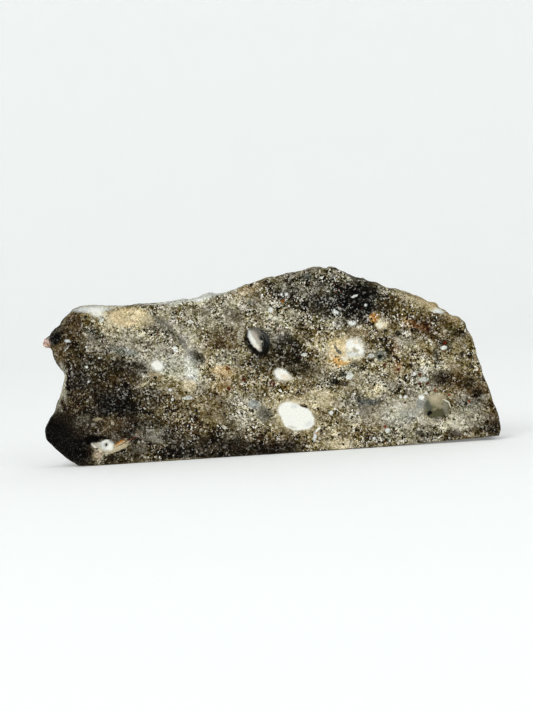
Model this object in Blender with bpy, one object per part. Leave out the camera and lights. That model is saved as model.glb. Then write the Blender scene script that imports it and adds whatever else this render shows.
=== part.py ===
"""A thin sawn slice of lunar meteorite, a breccia of pale clasts in a dark matrix.

The slice stands on its sawn lower edge. Its front (-Y) and its back (+Y) are parallel sawn
faces, and the rest of its rim is the stone's own broken, weathered surface. Length runs
along X, height along Z. The origin is under the middle of the slice, on the surface that
it stands on. Lengths below are in millimetres; the mesh is in metres.
"""
import math

import bmesh
import bpy
from mathutils import Matrix, Vector, noise

MM = 0.001

# Driving dimensions
THICKNESS = 5.0
RIM_STEP = 0.6
BASE_STEP = 2.0

# The sawn lower edge: flat from the left corner to a knee, then rising a little
BASE_LEFT_X = -25.0
BASE_KNEE_X = 14.0
BASE_RIGHT_X = 28.5
BASE_RIGHT_Z = 0.45
SAW_CHAMFER = 0.12

# The natural rim seen from the front, clockwise from the left end of the sawn edge.
# Each entry is x, z and the lip: how far the rim reaches past the front face there.
LOWER_LEFT_BULGE = [
    (-25.6, 0.5, 0.1), (-27.2, 1.7, 0.15), (-28.4, 3.0, 0.2), (-29.0, 3.7, 0.2),
    (-29.05, 4.8, 0.2), (-28.6, 6.0, 0.4), (-27.8, 7.0, 0.5),
]
LEFT_HOLLOW = [
    (-27.5, 7.9, 0.5), (-26.8, 9.2, 0.6), (-26.5, 10.6, 0.7), (-26.2, 11.6, 0.6),
    (-26.3, 12.1, 0.6), (-27.0, 13.0, 0.8), (-27.4, 14.0, 0.7), (-27.6, 15.0, 0.3),
]
CHIPPED_CORNER = [
    (-27.75, 16.6, 0.5), (-27.4, 17.35, 0.9), (-26.4, 18.1, 0.8), (-25.6, 19.1, 0.5),
    (-24.6, 19.9, 0.2), (-24.3, 20.1, 0.1),
]
LEFT_TOP = [
    (-22.6, 20.2, 0.1), (-20.6, 20.2, 0.1), (-18.5, 20.0, 0.1), (-15.1, 20.05, 0.1),
    (-13.0, 20.0, 0.15), (-10.5, 20.3, 0.3), (-9.0, 20.4, 0.3), (-7.2, 20.83, 0.3),
    (-4.8, 20.9, 0.15),
]
SUMMIT = [
    (-3.4, 21.25, 0.1), (-0.6, 22.1, 0.1), (2.4, 22.75, 0.1), (4.5, 23.1, 0.25),
    (6.4, 23.4, 0.35), (7.7, 23.1, 0.2), (8.0, 22.95, 0.1), (8.25, 23.2, 0.1),
    (8.8, 23.1, 0.1),
]
RIGHT_SLOPE = [
    (10.0, 22.4, 0.1), (12.2, 21.37, 0.1), (12.5, 21.55, 0.1), (12.9, 21.2, 0.15),
    (14.0, 20.95, 0.35), (15.2, 20.3, 0.25), (16.8, 19.85, 0.4), (18.5, 19.1, 0.35),
    (19.9, 18.35, 0.2),
]
RIGHT_STEPS = [
    (21.1, 17.95, 0.5), (21.7, 17.8, 0.5), (22.05, 17.2, 0.4), (22.9, 16.9, 0.4),
    (23.5, 16.25, 0.3), (24.4, 15.9, 0.3), (24.95, 15.2, 0.15),
]
RIGHT_END = [
    (25.2, 14.1, 0.1), (25.85, 13.1, 0.15), (26.2, 11.9, 0.15), (26.6, 10.3, 0.25),
    (27.0, 9.2, 0.35), (27.1, 8.2, 0.25), (27.5, 7.4, 0.4), (28.05, 5.4, 0.5),
    (28.6, 3.5, 0.45), (28.87, 2.0, 0.4), (28.85, 1.1, 0.3),
]

# How the rim is rounded through the thickness: fractions from the front to the back
DEPTH_ROWS = [0.0, 0.06, 0.18, 0.33, 0.48, 0.63, 0.78, 0.92, 1.0]
LIP_CURVE = 1.5
BACK_LIP_MEAN = 0.55
BACK_LIP_SPREAD = 0.4

# The roughness of the broken rim: (wavelength, height)
RIM_LUMPS = (4.0, 0.22)
RIM_GRAIN = (1.1, 0.09)
CORNER_FADE = 1.5

# Rays from the rim to this line inside the slice show which way is inward
CORE_HALF_LENGTH = 18.0
CORE_HEIGHT = 9.0

# A small grain that stands out of the left end, and the broken hollow in the front face
NIB_CENTRE = (-27.8, -1.1, 15.9)
NIB_RADII = (0.62, 0.75, 0.62)
HOLLOW_CENTRE = (-21.9, -2.55, 2.7)
HOLLOW_RADII = (1.9, 0.5, 1.15)
HOLLOW_TILT = math.radians(8.0)

STONE_COLOUR = (0.235, 0.208, 0.144, 1.0)
STONE_ROUGHNESS = 0.55


def clear_scene():
    for old in list(bpy.data.objects):
        bpy.data.objects.remove(old, do_unlink=True)


def stone_material():
    material = bpy.data.materials.new("breccia")
    material.use_nodes = True
    shader = material.node_tree.nodes["Principled BSDF"]
    shader.inputs["Base Color"].default_value = STONE_COLOUR
    shader.inputs["Roughness"].default_value = STONE_ROUGHNESS
    shader.inputs["Metallic"].default_value = 0.0
    return material


def blend(first, second, knot_a, knot_b, knot):
    """Mix two points by where the knot lies between its two neighbours."""
    share = (knot - knot_a) / (knot_b - knot_a)
    return first.lerp(second, share)


def curve_point(before, start, end, after, share):
    """A point of the centripetal Catmull-Rom curve between start and end."""
    knots = [0.0]
    for left, right in ((before, start), (start, end), (end, after)):
        knots.append(knots[-1] + math.sqrt((right - left).length))
    knot = knots[1] + share * (knots[2] - knots[1])
    a1 = blend(before, start, knots[0], knots[1], knot)
    a2 = blend(start, end, knots[1], knots[2], knot)
    a3 = blend(end, after, knots[2], knots[3], knot)
    b1 = blend(a1, a2, knots[0], knots[2], knot)
    b2 = blend(a2, a3, knots[1], knots[3], knot)
    return blend(b1, b2, knots[1], knots[2], knot)


def natural_rim():
    """Stations (x, z, lip) along the broken rim, between the ends of the sawn edge."""
    left_corner = Vector((BASE_LEFT_X, 0.0, SAW_CHAMFER))
    right_corner = Vector((BASE_RIGHT_X, BASE_RIGHT_Z, SAW_CHAMFER))
    stretches = (LOWER_LEFT_BULGE, LEFT_HOLLOW, CHIPPED_CORNER, LEFT_TOP, SUMMIT,
                 RIGHT_SLOPE, RIGHT_STEPS, RIGHT_END)
    points = [left_corner]
    points += [Vector(entry) for stretch in stretches for entry in stretch]
    points.append(right_corner)
    guides = [points[0] * 2.0 - points[1]] + points + [points[-1] * 2.0 - points[-2]]
    stations = []
    for index in range(1, len(guides) - 2):
        before, start, end, after = guides[index - 1:index + 3]
        count = max(1, round((end - start).length / RIM_STEP))
        for step in range(count):
            stations.append(curve_point(before, start, end, after, step / count))
    stations.append(points[-1])
    return stations


def sawn_edge():
    """Stations along the sawn lower edge, from the right corner back to the left one."""
    corners = [Vector((BASE_RIGHT_X, BASE_RIGHT_Z, SAW_CHAMFER)),
               Vector((BASE_KNEE_X, 0.0, SAW_CHAMFER)),
               Vector((BASE_LEFT_X, 0.0, SAW_CHAMFER))]
    stations = []
    for start, end in zip(corners, corners[1:]):
        count = max(1, round((end - start).length / BASE_STEP))
        for step in range(count):
            stations.append(start.lerp(end, step / count))
    return stations[1:]


def inward(x, z):
    """The direction from a rim station to the core line inside the slice."""
    nearest = Vector((max(-CORE_HALF_LENGTH, min(CORE_HALF_LENGTH, x)), CORE_HEIGHT))
    return (nearest - Vector((x, z))).normalized()


def lip_inset(depth, front_lip, back_lip, widest):
    """How far the rim is drawn in at a depth between the front (0) and the back (1)."""
    if depth < widest:
        return front_lip * (1.0 - depth / widest) ** LIP_CURVE
    return back_lip * ((depth - widest) / (1.0 - widest)) ** LIP_CURVE


def roughness(x, depth, z):
    """The height of the broken rim's lumps and grain, in millimetres."""
    total = 0.0
    for wavelength, height in (RIM_LUMPS, RIM_GRAIN):
        place = Vector((x, depth * THICKNESS, z)) / wavelength
        total += height * noise.noise(place)
    return total


def corner_weight(x, z):
    """0 on the sawn edge's corners, 1 on the broken rim away from them."""
    to_left = math.hypot(x - BASE_LEFT_X, z)
    to_right = math.hypot(x - BASE_RIGHT_X, z - BASE_RIGHT_Z)
    return min(1.0, min(to_left, to_right) / CORNER_FADE)


def rim_column(station):
    """One station's points through the thickness, on the broken rim."""
    x, z, front_lip = station
    weight = corner_weight(x, z)
    variation = noise.noise(Vector((x, 40.0, z)) / RIM_LUMPS[0])
    back_lip = SAW_CHAMFER + weight * (BACK_LIP_MEAN + BACK_LIP_SPREAD * variation)
    widest = 0.45 + 0.15 * weight * variation
    direction = inward(x, z)
    column = []
    for depth in DEPTH_ROWS:
        inset = lip_inset(depth, front_lip, back_lip, widest)
        inset -= weight * roughness(x, depth, z)
        y = (depth - 0.5) * THICKNESS
        column.append(Vector((x + direction.x * inset, y, z + direction.y * inset)) * MM)
    return column


def sawn_column(station):
    """One station's points through the thickness, on the flat sawn edge."""
    x, z, chamfer = station
    column = []
    for depth in DEPTH_ROWS:
        y = (depth - 0.5) * THICKNESS
        lift = chamfer if depth in (DEPTH_ROWS[0], DEPTH_ROWS[-1]) else 0.0
        column.append(Vector((x, y, z + lift)) * MM)
    return column


def slice_mesh():
    """The closed body: a rim lofted through the thickness between two flat faces."""
    shape = bmesh.new()
    columns = [rim_column(station) for station in natural_rim()]
    columns += [sawn_column(station) for station in sawn_edge()]
    grid = [[shape.verts.new(point) for point in column] for column in columns]
    for index, left in enumerate(grid):
        right = grid[(index + 1) % len(grid)]
        for row in range(len(DEPTH_ROWS) - 1):
            shape.faces.new((left[row], left[row + 1], right[row + 1], right[row]))
    shape.faces.new([column[0] for column in grid])
    shape.faces.new([column[-1] for column in reversed(grid)])
    bmesh.ops.recalc_face_normals(shape, faces=shape.faces)
    mesh = bpy.data.meshes.new("meteorite_slice")
    shape.to_mesh(mesh)
    shape.free()
    return mesh


def lump(name, centre, radii, tilt, raggedness):
    """A ragged closed lump, used for the standing grain and for the broken hollow."""
    shape = bmesh.new()
    bmesh.ops.create_icosphere(shape, subdivisions=3, radius=1.0)
    for vert in shape.verts:
        vert.co *= 1.0 + raggedness * noise.noise(vert.co * 1.7 + Vector(centre))
    size = Matrix.Diagonal((radii[0], radii[1], radii[2], 1.0))
    place = Matrix.Translation(Vector(centre) * MM) @ Matrix.Rotation(tilt, 4, "Y")
    bmesh.ops.transform(shape, matrix=place @ Matrix.Scale(MM, 4) @ size, verts=shape.verts)
    mesh = bpy.data.meshes.new(name)
    shape.to_mesh(mesh)
    shape.free()
    guide = bpy.data.objects.new(name, mesh)
    bpy.context.scene.collection.objects.link(guide)
    guide.hide_render = True
    guide.display_type = "WIRE"
    return guide


def add_boolean(target, other, operation):
    modifier = target.modifiers.new(other.name, "BOOLEAN")
    modifier.operation = operation
    modifier.solver = "EXACT"
    modifier.object = other


def centre_along_length(mesh):
    """Put the middle of the slice's length over the origin."""
    xs = [vert.co.x for vert in mesh.vertices]
    shift = -0.5 * (min(xs) + max(xs))
    mesh.transform(Matrix.Translation((shift, 0.0, 0.0)))
    return shift


def main():
    clear_scene()
    mesh = slice_mesh()
    mesh.materials.append(stone_material())
    stone = bpy.data.objects.new("meteorite_slice", mesh)
    bpy.context.scene.collection.objects.link(stone)
    nib = lump("nib_guide", NIB_CENTRE, NIB_RADII, 0.0, 0.35)
    hollow = lump("hollow_guide", HOLLOW_CENTRE, HOLLOW_RADII, HOLLOW_TILT, 0.3)
    shift = centre_along_length(mesh)
    for guide in (nib, hollow):
        guide.data.transform(Matrix.Translation((shift, 0.0, 0.0)))
    add_boolean(stone, nib, "UNION")
    add_boolean(stone, hollow, "DIFFERENCE")


main()
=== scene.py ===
"""The looks of a sawn slice of lunar breccia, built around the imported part.

The slice stands on its sawn lower edge with its front face towards -Y. Places on the stone
are given in millimetres, x to the right and z up as the front face is seen, and y into the
stone, as in the part's own frame.
"""
import logging
import math
from dataclasses import dataclass, field, replace
from enum import Enum
from typing import Any

import bpy
from mathutils import Euler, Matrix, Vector


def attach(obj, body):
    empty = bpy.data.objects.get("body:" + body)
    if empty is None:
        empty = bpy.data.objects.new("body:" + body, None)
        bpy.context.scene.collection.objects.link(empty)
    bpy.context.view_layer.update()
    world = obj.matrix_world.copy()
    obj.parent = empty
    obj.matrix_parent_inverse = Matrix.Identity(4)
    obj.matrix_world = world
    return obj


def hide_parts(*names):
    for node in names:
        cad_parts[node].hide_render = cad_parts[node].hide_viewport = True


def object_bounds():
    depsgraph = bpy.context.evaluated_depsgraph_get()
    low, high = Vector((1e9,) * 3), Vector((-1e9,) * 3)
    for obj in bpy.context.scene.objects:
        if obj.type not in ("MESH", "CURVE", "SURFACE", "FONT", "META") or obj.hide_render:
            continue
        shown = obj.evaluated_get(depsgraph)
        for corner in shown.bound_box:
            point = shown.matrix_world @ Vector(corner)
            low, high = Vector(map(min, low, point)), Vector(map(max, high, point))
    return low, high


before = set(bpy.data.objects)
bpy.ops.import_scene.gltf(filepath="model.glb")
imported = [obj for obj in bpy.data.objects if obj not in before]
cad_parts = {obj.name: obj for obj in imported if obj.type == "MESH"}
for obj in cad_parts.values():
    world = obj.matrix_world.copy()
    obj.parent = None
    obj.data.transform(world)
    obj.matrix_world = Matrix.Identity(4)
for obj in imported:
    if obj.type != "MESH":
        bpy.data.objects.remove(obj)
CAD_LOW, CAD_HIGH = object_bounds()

LOG = logging.getLogger("scene")
MM = 0.001
NODE = "meteorite_slice"
FRONT_Y = CAD_LOW.y / MM
BACK_Y = CAD_HIGH.y / MM
HALF_THICKNESS = 0.5 * (BACK_Y - FRONT_Y)

# The sawn lower edge is flat up to its knee and rises a little to its right end
BASE_KNEE_X = 14.1
BASE_RIGHT_X = 28.6
BASE_RIGHT_Z = 0.45

# The broken hollow in the front face
HOLLOW_CENTRE = (-21.8, 2.7)
HOLLOW_RADII = (2.4, 1.6)


class Swatch(Enum):
    """The stone's colours, as sRGB hex."""

    ANORTHOSITE = "F1F0E8"
    FELDSPAR = "E3DECF"
    FROST = "D8DAD6"
    CREAM = "E0D2B4"
    BEIGE = "BFB294"
    SAND = "A2977D"
    TAN = "A8926E"
    APRICOT = "DAC6A0"
    HONEY = "CF9F58"
    ROSE = "C4A296"
    ORANGE = "A8682E"
    RUST = "6E3518"
    GARNET = "4A120A"
    PINK_GREY = "A2968A"
    PALE_GREY = "B6B1A2"
    GREY = "8C867A"
    MOUSE = "6C685E"
    SLATE = "454A4A"
    BLUE_GREY = "858B8C"
    CHARCOAL = "222321"
    BLACK = "040302"
    MOSS = "66654B"
    OLIVE = "7F7156"
    OLIVE_BROWN = "5F5239"
    DARK_OLIVE = "322B19"
    BROWN = "4E3E27"
    PEAT = "2E251B"
    UMBER = "1F170E"
    SOOT = "0C0A08"


S = Swatch


@dataclass(frozen=True)
class Patch:
    """One soft or crisp patch of colour in the stone, an ellipsoid.

    The angle turns the patch anticlockwise as the front face is seen, in degrees. Speckle
    is how strongly the mineral grains show in it.
    """

    x: float
    z: float
    half_length: float
    half_height: float
    angle: float
    swatch: Swatch
    strength: float = 0.9
    softness: float = 0.55
    speckle: float = 1.0
    depth: float = 6.0
    y: float = FRONT_Y


def zone(x: float, z: float, half_length: float, half_height: float, angle: float,
         swatch: Swatch, strength: float = 0.9, speckle: float = 1.0) -> Patch:
    """A wide soft area of the matrix; also used for wide areas of painted shade."""
    return Patch(x, z, half_length, half_height, angle, swatch, strength, 0.6, speckle, 9.0)


def clast(x: float, z: float, half_length: float, half_height: float, angle: float,
          swatch: Swatch, strength: float = 0.95, softness: float = 0.22,
          speckle: float = 0.4) -> Patch:
    """A fragment with a clear edge, as deep as it is long; also used for painted shade with a
    clear edge.
    """
    depth = max(half_length, half_height, 1.2)
    return Patch(x, z, half_length, half_height, angle, swatch, strength, softness, speckle,
                 depth)


def streak(x0: float, z0: float, x1: float, z1: float, width: float, swatch: Swatch,
           strength: float = 0.85) -> Patch:
    """A narrow band from one place to another."""
    half_length = 0.5 * math.hypot(x1 - x0, z1 - z0)
    angle = math.degrees(math.atan2(z1 - z0, x1 - x0))
    return Patch(0.5 * (x0 + x1), 0.5 * (z0 + z1), half_length, 0.5 * width, angle, swatch,
                 strength, 0.35, 0.5, 0.8)


def specks(swatch: Swatch, *places: tuple[float, float, float]) -> tuple[Patch, ...]:
    """Small round grains of one colour, each given by its x, z and radius."""
    return tuple(Patch(x, z, radius, radius, 0.0, swatch, 0.95, 0.35, 1.0, 1.2)
                 for x, z, radius in places)


# The matrix's wide areas of colour, with painted shade at the lower corners and on the chipped
# facet at the upper left
LEFT_ZONES = (
    zone(-9.0, 17.9, 7.5, 3.2, 0, S.PALE_GREY, 0.5, 1.1),
    zone(-24.0, 6.0, 7.2, 8.0, 0, S.PEAT, 0.97, 0.49),
    zone(-24.6, 16.8, 3.0, 4.0, 0, S.BROWN, 0.9, 0.58),
    zone(-25.0, 18.2, 1.8, 1.4, 35, S.UMBER, 0.85, 0.63),
    zone(-22.8, 14.6, 2.6, 1.2, -10, S.DARK_OLIVE, 0.85, 0.6),
    zone(-24.4, 11.0, 3.0, 2.0, 8, S.SOOT, 0.9, 0.63),
    zone(-19.4, 11.9, 4.6, 1.8, -12, S.DARK_OLIVE, 0.97, 0.58),
    zone(-17.4, 12.1, 2.0, 1.1, -10, S.UMBER, 0.97, 0.48),
    zone(-18.6, 10.2, 3.2, 1.0, -5, S.BROWN, 0.75, 0.63),
    zone(-18.7, 7.6, 4.2, 2.4, -8, S.SOOT, 1.0, 0.43),
    zone(-15.2, 7.9, 2.1, 2.6, 0, S.UMBER, 0.92, 0.7),
    zone(-16.8, 8.6, 2.4, 1.1, 0, S.UMBER, 0.75, 0.7),
    zone(-25.2, 11.4, 1.2, 2.0, 0, S.UMBER, 0.7, 0.7),
    zone(-12.6, 14.3, 1.4, 0.9, 0, S.MOUSE, 0.5, 0.95),
    zone(-11.0, 3.6, 6.8, 4.2, 0, S.OLIVE_BROWN, 0.95, 0.85),
    zone(-17.5, 4.2, 3.2, 2.0, -10, S.UMBER, 0.97, 0.53),
    zone(-12.4, 2.2, 2.4, 2.2, 0, S.UMBER, 0.92, 0.6),
    zone(-7.6, 1.2, 4.6, 2.0, 0, S.UMBER, 0.95, 0.63),
    zone(-15.4, 3.4, 2.0, 1.2, -10, S.MOUSE, 0.65, 0.8),
    zone(-19.4, 0.8, 4.0, 1.1, 0, S.DARK_OLIVE, 0.9, 0.63),
    zone(-24.4, 3.4, 1.6, 2.4, 20, S.UMBER, 0.85, 0.2),
    zone(-7.4, 7.6, 2.4, 2.0, 0, S.BROWN, 0.6, 0.85),
    zone(-10.2, 4.4, 1.8, 1.2, 0, S.BROWN, 0.7, 0.9),
    zone(-5.0, 3.6, 1.8, 1.8, 0, S.GREY, 0.4, 1.1),
    zone(-20.2, 5.0, 1.6, 1.0, 0, S.BROWN, 0.7, 0.53),
    # Painted shade: the lower left corner is darkened to black where a shadow fell across it
    zone(-28.0, 4.0, 3.0, 3.6, -20, S.BLACK, 1.0, 0.05),
    zone(-26.2, 2.0, 3.4, 1.9, -38, S.SOOT, 0.97, 0.12),
    # Painted shade on the chipped facet at the upper left
    zone(-27.6, 16.8, 1.4, 1.4, 40, S.SOOT, 0.9, 0.43),
    zone(-24.6, 8.4, 2.0, 1.4, 20, S.BROWN, 0.4, 0.63),
    zone(-9.0, 20.5, 5.0, 0.55, 4, S.FROST, 0.8, 0.53),
    zone(-17.4, 18.5, 3.7, 1.3, -4, S.BEIGE, 0.85, 0.68),
    zone(-17.6, 16.5, 2.2, 0.6, -4, S.MOUSE, 0.6, 0.9),
    zone(-20.6, 18.5, 1.5, 1.4, -25, S.SAND, 0.7, 0.63),
    zone(-19.8, 16.2, 1.8, 0.9, -35, S.SAND, 0.6, 0.6),
    zone(-18.2, 15.0, 4.0, 1.4, -14, S.GREY, 0.8, 0.75),
    zone(-14.2, 14.4, 2.2, 1.2, -25, S.GREY, 0.5, 0.9),
    zone(-12.9, 12.1, 2.8, 1.8, -10, S.PALE_GREY, 0.97, 0.75),
    zone(-12.4, 12.2, 1.4, 0.9, 0, S.FROST, 0.45, 0.8),
    zone(-9.9, 11.5, 1.5, 2.6, 10, S.PALE_GREY, 0.9, 0.7),
    zone(-10.0, 15.0, 2.2, 1.5, -25, S.PALE_GREY, 0.7, 0.95),
    zone(-12.4, 16.9, 2.2, 1.8, -40, S.GREY, 0.8, 1.0),
    zone(-14.0, 9.9, 2.4, 0.8, 0, S.SAND, 0.5, 0.9),
)
MIDDLE_ZONES = (
    zone(-6.6, 11.5, 2.8, 1.8, -20, S.SAND, 0.75, 1.05),
    zone(-7.6, 14.6, 1.6, 1.0, 0, S.OLIVE, 0.7, 0.9),
    zone(-5.2, 12.6, 1.4, 0.9, 0, S.PALE_GREY, 0.7, 1.0),
    zone(-7.6, 10.4, 1.3, 0.8, 0, S.BEIGE, 0.5, 0.9),
    zone(-4.6, 10.0, 2.2, 1.2, -15, S.OLIVE, 0.45, 1.0),
    zone(-5.0, 15.0, 2.2, 1.6, 0, S.BROWN, 0.75, 0.8),
    zone(-5.2, 18.4, 3.0, 1.8, 0, S.GREY, 0.7, 0.9),
    zone(-2.4, 20.7, 2.6, 1.1, 10, S.OLIVE, 0.6, 0.8),
    zone(-2.6, 12.5, 1.7, 1.0, -20, S.SAND, 0.5, 0.9),
    zone(-2.4, 10.4, 1.6, 0.9, 0, S.SAND, 0.6, 1.0),
    zone(-3.0, 5.9, 3.4, 2.2, -10, S.PALE_GREY, 0.7, 1.2),
    zone(1.6, 12.9, 3.9, 2.8, -10, S.DARK_OLIVE, 1.0, 0.55),
    zone(2.6, 12.0, 2.6, 1.6, -15, S.PEAT, 0.8, 0.6),
    zone(4.3, 11.0, 2.3, 1.4, -10, S.DARK_OLIVE, 0.92, 0.58),
    zone(2.2, 14.4, 2.0, 1.0, -10, S.CHARCOAL, 0.7, 0.53),
    zone(-0.2, 18.2, 1.9, 1.3, -10, S.PINK_GREY, 0.7, 1.1),
    zone(-0.4, 9.9, 2.0, 1.1, -10, S.BROWN, 0.55, 1.1),
    zone(-2.4, 8.3, 1.8, 0.8, -10, S.OLIVE_BROWN, 0.5, 1.0),
    zone(0.0, 6.9, 1.1, 1.0, 0, S.BEIGE, 0.8, 1.0),
    zone(3.4, 7.8, 3.6, 1.0, 0, S.OLIVE, 0.5, 0.95),
    zone(7.4, 6.7, 2.2, 1.2, -12, S.BEIGE, 0.9, 0.8),
    zone(6.8, 2.6, 1.9, 1.3, 0, S.SAND, 0.75, 0.95),
    zone(-3.6, 0.8, 5.0, 1.4, 0, S.UMBER, 0.97, 0.53),
    zone(-2.0, 2.6, 1.6, 1.0, 0, S.BROWN, 0.7, 0.9),
    zone(0.8, 0.4, 3.0, 1.6, 0, S.BLACK, 1.0, 0.15),
    zone(5.0, 0.4, 1.6, 0.9, 0, S.OLIVE_BROWN, 0.7, 0.8),
    zone(0.4, 1.9, 2.0, 1.2, 0, S.BROWN, 0.8, 0.8),
    zone(9.1, 12.4, 2.8, 2.2, -20, S.BEIGE, 0.9, 0.7),
    zone(6.3, 12.4, 1.5, 1.8, 0, S.OLIVE, 0.7, 1.0),
    zone(7.6, 14.8, 2.6, 0.9, 0, S.OLIVE, 0.7, 1.0),
    zone(12.8, 12.6, 1.4, 1.7, 0, S.OLIVE_BROWN, 0.8, 0.9),
    zone(10.4, 10.1, 2.2, 0.8, 0, S.MOUSE, 0.8, 0.9),
    zone(8.6, 16.5, 4.8, 1.3, -6, S.MOUSE, 0.8, 1.3),
    zone(7.4, 8.9, 1.7, 1.0, -10, S.MOUSE, 0.8, 1.0),
    zone(6.4, 20.4, 7.2, 2.6, -7, S.CHARCOAL, 0.9, 1.0),
    zone(12.7, 18.9, 3.3, 2.8, -25, S.BLACK, 1.0, 0.4),
    zone(9.2, 18.8, 4.6, 1.5, -8, S.BLACK, 0.97, 0.62),
    zone(5.2, 20.9, 2.6, 1.2, -10, S.GREY, 0.75, 1.2),
    zone(9.0, 20.5, 2.6, 1.0, -15, S.BLACK, 0.7, 0.9),
    zone(5.2, 22.8, 2.6, 0.8, 5, S.GREY, 0.7, 1.0),
    zone(9.2, 22.3, 2.2, 0.7, -14, S.GREY, 0.8, 0.9),
    zone(1.9, 17.6, 2.2, 1.6, -5, S.PALE_GREY, 0.8, 1.2),
    zone(-0.2, 18.6, 1.2, 0.9, 0, S.PALE_GREY, 0.7, 1.0),
    zone(-2.6, 18.4, 1.2, 0.9, 0, S.MOUSE, 0.6, 1.1),
    zone(0.4, 15.0, 1.0, 0.8, -10, S.GREY, 0.6, 0.7),
)
RIGHT_ZONES = (
    zone(15.8, 19.6, 1.5, 0.9, -30, S.GREY, 0.6, 0.9),
    zone(17.3, 17.2, 2.7, 1.8, -25, S.OLIVE_BROWN, 0.97, 0.85),
    zone(12.6, 16.3, 1.2, 0.9, 0, S.UMBER, 0.7, 0.9),
    zone(15.9, 16.2, 1.2, 1.1, 0, S.OLIVE_BROWN, 0.85, 1.0),
    zone(20.1, 14.5, 3.2, 1.6, -15, S.BROWN, 0.97, 0.75),
    zone(21.6, 14.7, 3.2, 1.0, -12, S.UMBER, 0.4, 0.8),
    zone(23.0, 6.5, 1.4, 0.8, 0, S.BROWN, 0.5, 0.9),
    zone(23.3, 14.2, 2.2, 1.6, -15, S.OLIVE_BROWN, 0.92, 0.75),
    zone(20.2, 18.2, 3.6, 0.9, -25, S.BEIGE, 0.85, 0.5),
    zone(23.2, 16.6, 2.0, 0.8, -30, S.SAND, 0.7, 0.7),
    zone(25.2, 12.2, 1.6, 2.4, 0, S.OLIVE_BROWN, 0.65, 0.8),
    zone(14.8, 12.2, 1.6, 1.4, 0, S.MOUSE, 0.45, 1.0),
    zone(15.4, 10.4, 1.8, 0.9, 0, S.SAND, 0.6, 1.0),
    zone(17.2, 13.2, 1.9, 1.2, 0, S.GREY, 0.5, 0.9),
    zone(20.2, 8.9, 2.2, 1.6, 0, S.PALE_GREY, 0.9, 0.95),
    zone(23.0, 10.6, 1.4, 0.9, 0, S.SAND, 0.7, 0.9),
    zone(19.6, 11.6, 1.8, 1.2, 0, S.OLIVE, 0.6, 1.0),
    zone(22.6, 12.0, 1.2, 1.0, 0, S.SAND, 0.5, 1.0),
    zone(17.0, 7.4, 3.0, 1.2, 0, S.MOUSE, 0.75, 0.95),
    zone(19.6, 6.8, 1.4, 0.8, 0, S.PALE_GREY, 0.7, 0.9),
    zone(23.0, 8.3, 2.6, 1.2, -8, S.BROWN, 0.9, 0.6),
    zone(25.6, 6.4, 2.0, 1.5, -15, S.BROWN, 0.95, 0.5),
    zone(16.2, 4.5, 3.6, 1.5, 6, S.PALE_GREY, 0.9, 0.5),
    zone(12.4, 6.2, 2.2, 1.0, -5, S.MOUSE, 0.9, 0.8),
    zone(13.0, 8.2, 2.2, 1.3, 0, S.PALE_GREY, 0.7, 0.85),
    zone(10.2, 6.3, 1.9, 1.2, 0, S.MOUSE, 0.7, 0.9),
    zone(10.2, 4.2, 1.4, 0.9, 0, S.PALE_GREY, 0.5, 1.0),
    zone(8.2, 0.8, 1.8, 1.1, 0, S.SAND, 0.7, 0.8),
    zone(14.4, 0.9, 2.2, 0.9, 0, S.MOUSE, 0.5, 1.0),
    zone(18.6, 2.3, 4.0, 1.6, 0, S.PALE_GREY, 0.7, 0.8),
    zone(20.0, 0.7, 2.6, 0.8, 0, S.GREY, 0.8, 0.8),
    zone(12.8, 0.9, 1.6, 0.9, 0, S.MOUSE, 0.5, 1.0),
    zone(24.2, 2.9, 2.6, 1.4, 0, S.PALE_GREY, 0.85, 0.7),
    zone(25.0, 4.7, 2.0, 1.1, 0, S.MOUSE, 0.95, 0.6),
    zone(22.7, 0.9, 1.6, 0.8, 0, S.BROWN, 0.7, 0.8),
    zone(15.2, 2.3, 1.3, 1.0, 0, S.MOUSE, 0.6, 0.9),
    zone(7.6, 2.4, 1.2, 0.9, 0, S.BEIGE, 0.5, 0.9),
    # Painted shade: the lower right corner is darkened to deep brown where a shadow fell
    # across it
    zone(27.8, 1.6, 1.8, 1.7, 20, S.UMBER, 0.95, 0.4),
    zone(27.9, 4.6, 1.0, 2.4, -12, S.BROWN, 0.6, 0.5),
)
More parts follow.
